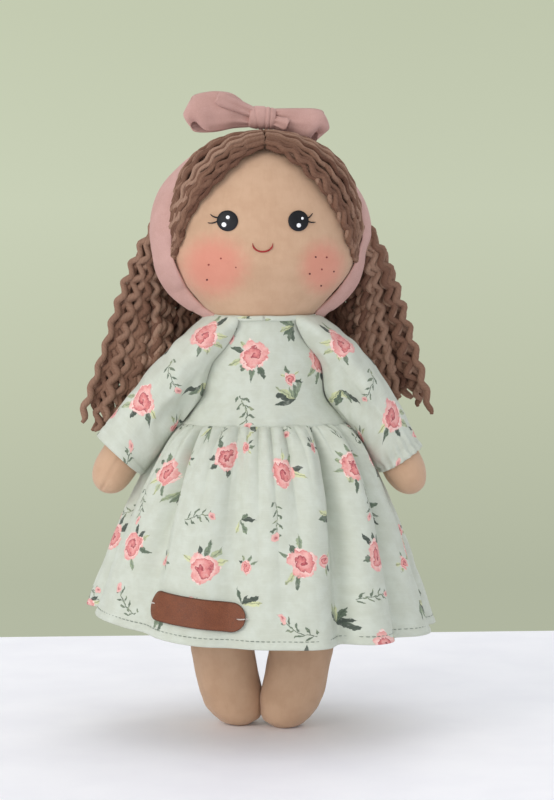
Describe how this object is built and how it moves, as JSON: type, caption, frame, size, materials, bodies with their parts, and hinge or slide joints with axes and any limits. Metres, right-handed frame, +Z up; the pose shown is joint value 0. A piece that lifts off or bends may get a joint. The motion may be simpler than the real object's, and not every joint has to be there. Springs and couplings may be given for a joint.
{
  "type": "rag doll",
  "caption": "Stuffed cloth rag doll with yarn curls, a knotted headband and a gathered print dress; arms and legs swing at their seams.",
  "frame": {"origin": "on the floor under the middle of the doll, between its soles", "axes": "+Z up, -Y is the front of the doll, +X is the doll's left"},
  "size_m": [0.2273, 0.1854, 0.4006],
  "materials": {
    "skin_cotton": "plain woven cotton, matt",
    "filling": "loose polyester fibre",
    "yarn": "crimped wool yarn, matt",
    "ribbon": "soft jersey, matt",
    "dress_print": "printed woven cotton, matt",
    "leather": "smooth, semi-matt",
    "eye_paint": "glossy raised paint",
    "mouth_thread": "cotton thread",
    "white_thread": "cotton thread",
    "button": "moulded, semi-gloss"
  },
  "bodies": {
    "doll": {"trunk_skin": "skin_cotton", "trunk_filling": "filling", "head_skin": "skin_cotton", "head_filling": "filling", "dress_bodice": "dress_print", "dress_skirt": "dress_print", "neck_binding": "dress_print", "back_button_lower": "button", "back_button_middle": "button", "back_button_upper": "button", "eye_left": "eye_paint", "eye_right": "eye_paint", "mouth_stitch": "mouth_thread", "hair_parting_left": "yarn", "hair_parting_right": "yarn", "hair_back": "yarn", "hair_curls_left": "yarn", "hair_curls_right": "yarn", "headband": "ribbon", "bow_knot": "ribbon", "bow_loop_left": "ribbon", "bow_loop_right": "ribbon", "bow_tail_left": "ribbon", "bow_tail_right": "ribbon"},
    "arm_left": {"arm_left_skin": "skin_cotton", "arm_left_filling": "filling", "sleeve_left": "dress_print"},
    "arm_right": {"arm_right_skin": "skin_cotton", "arm_right_filling": "filling", "sleeve_right": "dress_print"},
    "hip_fold": {"hip_seam": "skin_cotton", "leather_label": "leather", "label_stitch_left": "white_thread", "label_stitch_right": "white_thread"},
    "leg_left": {"leg_left_skin": "skin_cotton", "leg_left_filling": "filling"},
    "leg_right": {"leg_right_skin": "skin_cotton", "leg_right_filling": "filling"}
  },
  "joints": [
    {"name": "shoulder_left", "type": "hinge", "parent": "doll", "child": "arm_left", "pos_m": [0.0379, -0.002, 0.226], "axis": [-1, 0, 0], "range_deg": [-18, 100], "deforming": ["sleeve_left"]},
    {"name": "shoulder_right", "type": "hinge", "parent": "doll", "child": "arm_right", "pos_m": [-0.0379, -0.002, 0.226], "axis": [-1, 0, 0], "range_deg": [-18, 100], "deforming": ["sleeve_right"]},
    {"name": "sit_fold", "type": "hinge", "parent": "doll", "child": "hip_fold", "pos_m": [0, 0, 0.13], "axis": [-1, 0, 0], "range_deg": [0, 90], "deforming": ["dress_skirt"]},
    {"name": "hip_left", "type": "hinge", "parent": "hip_fold", "child": "leg_left", "pos_m": [0.0203, 0, 0.13], "axis": [-1, 0, 0], "range_deg": [-15, 25], "deforming": ["dress_skirt"]},
    {"name": "hip_right", "type": "hinge", "parent": "hip_fold", "child": "leg_right", "pos_m": [-0.0203, 0, 0.13], "axis": [-1, 0, 0], "range_deg": [-15, 25], "deforming": ["dress_skirt"]}
  ]
}
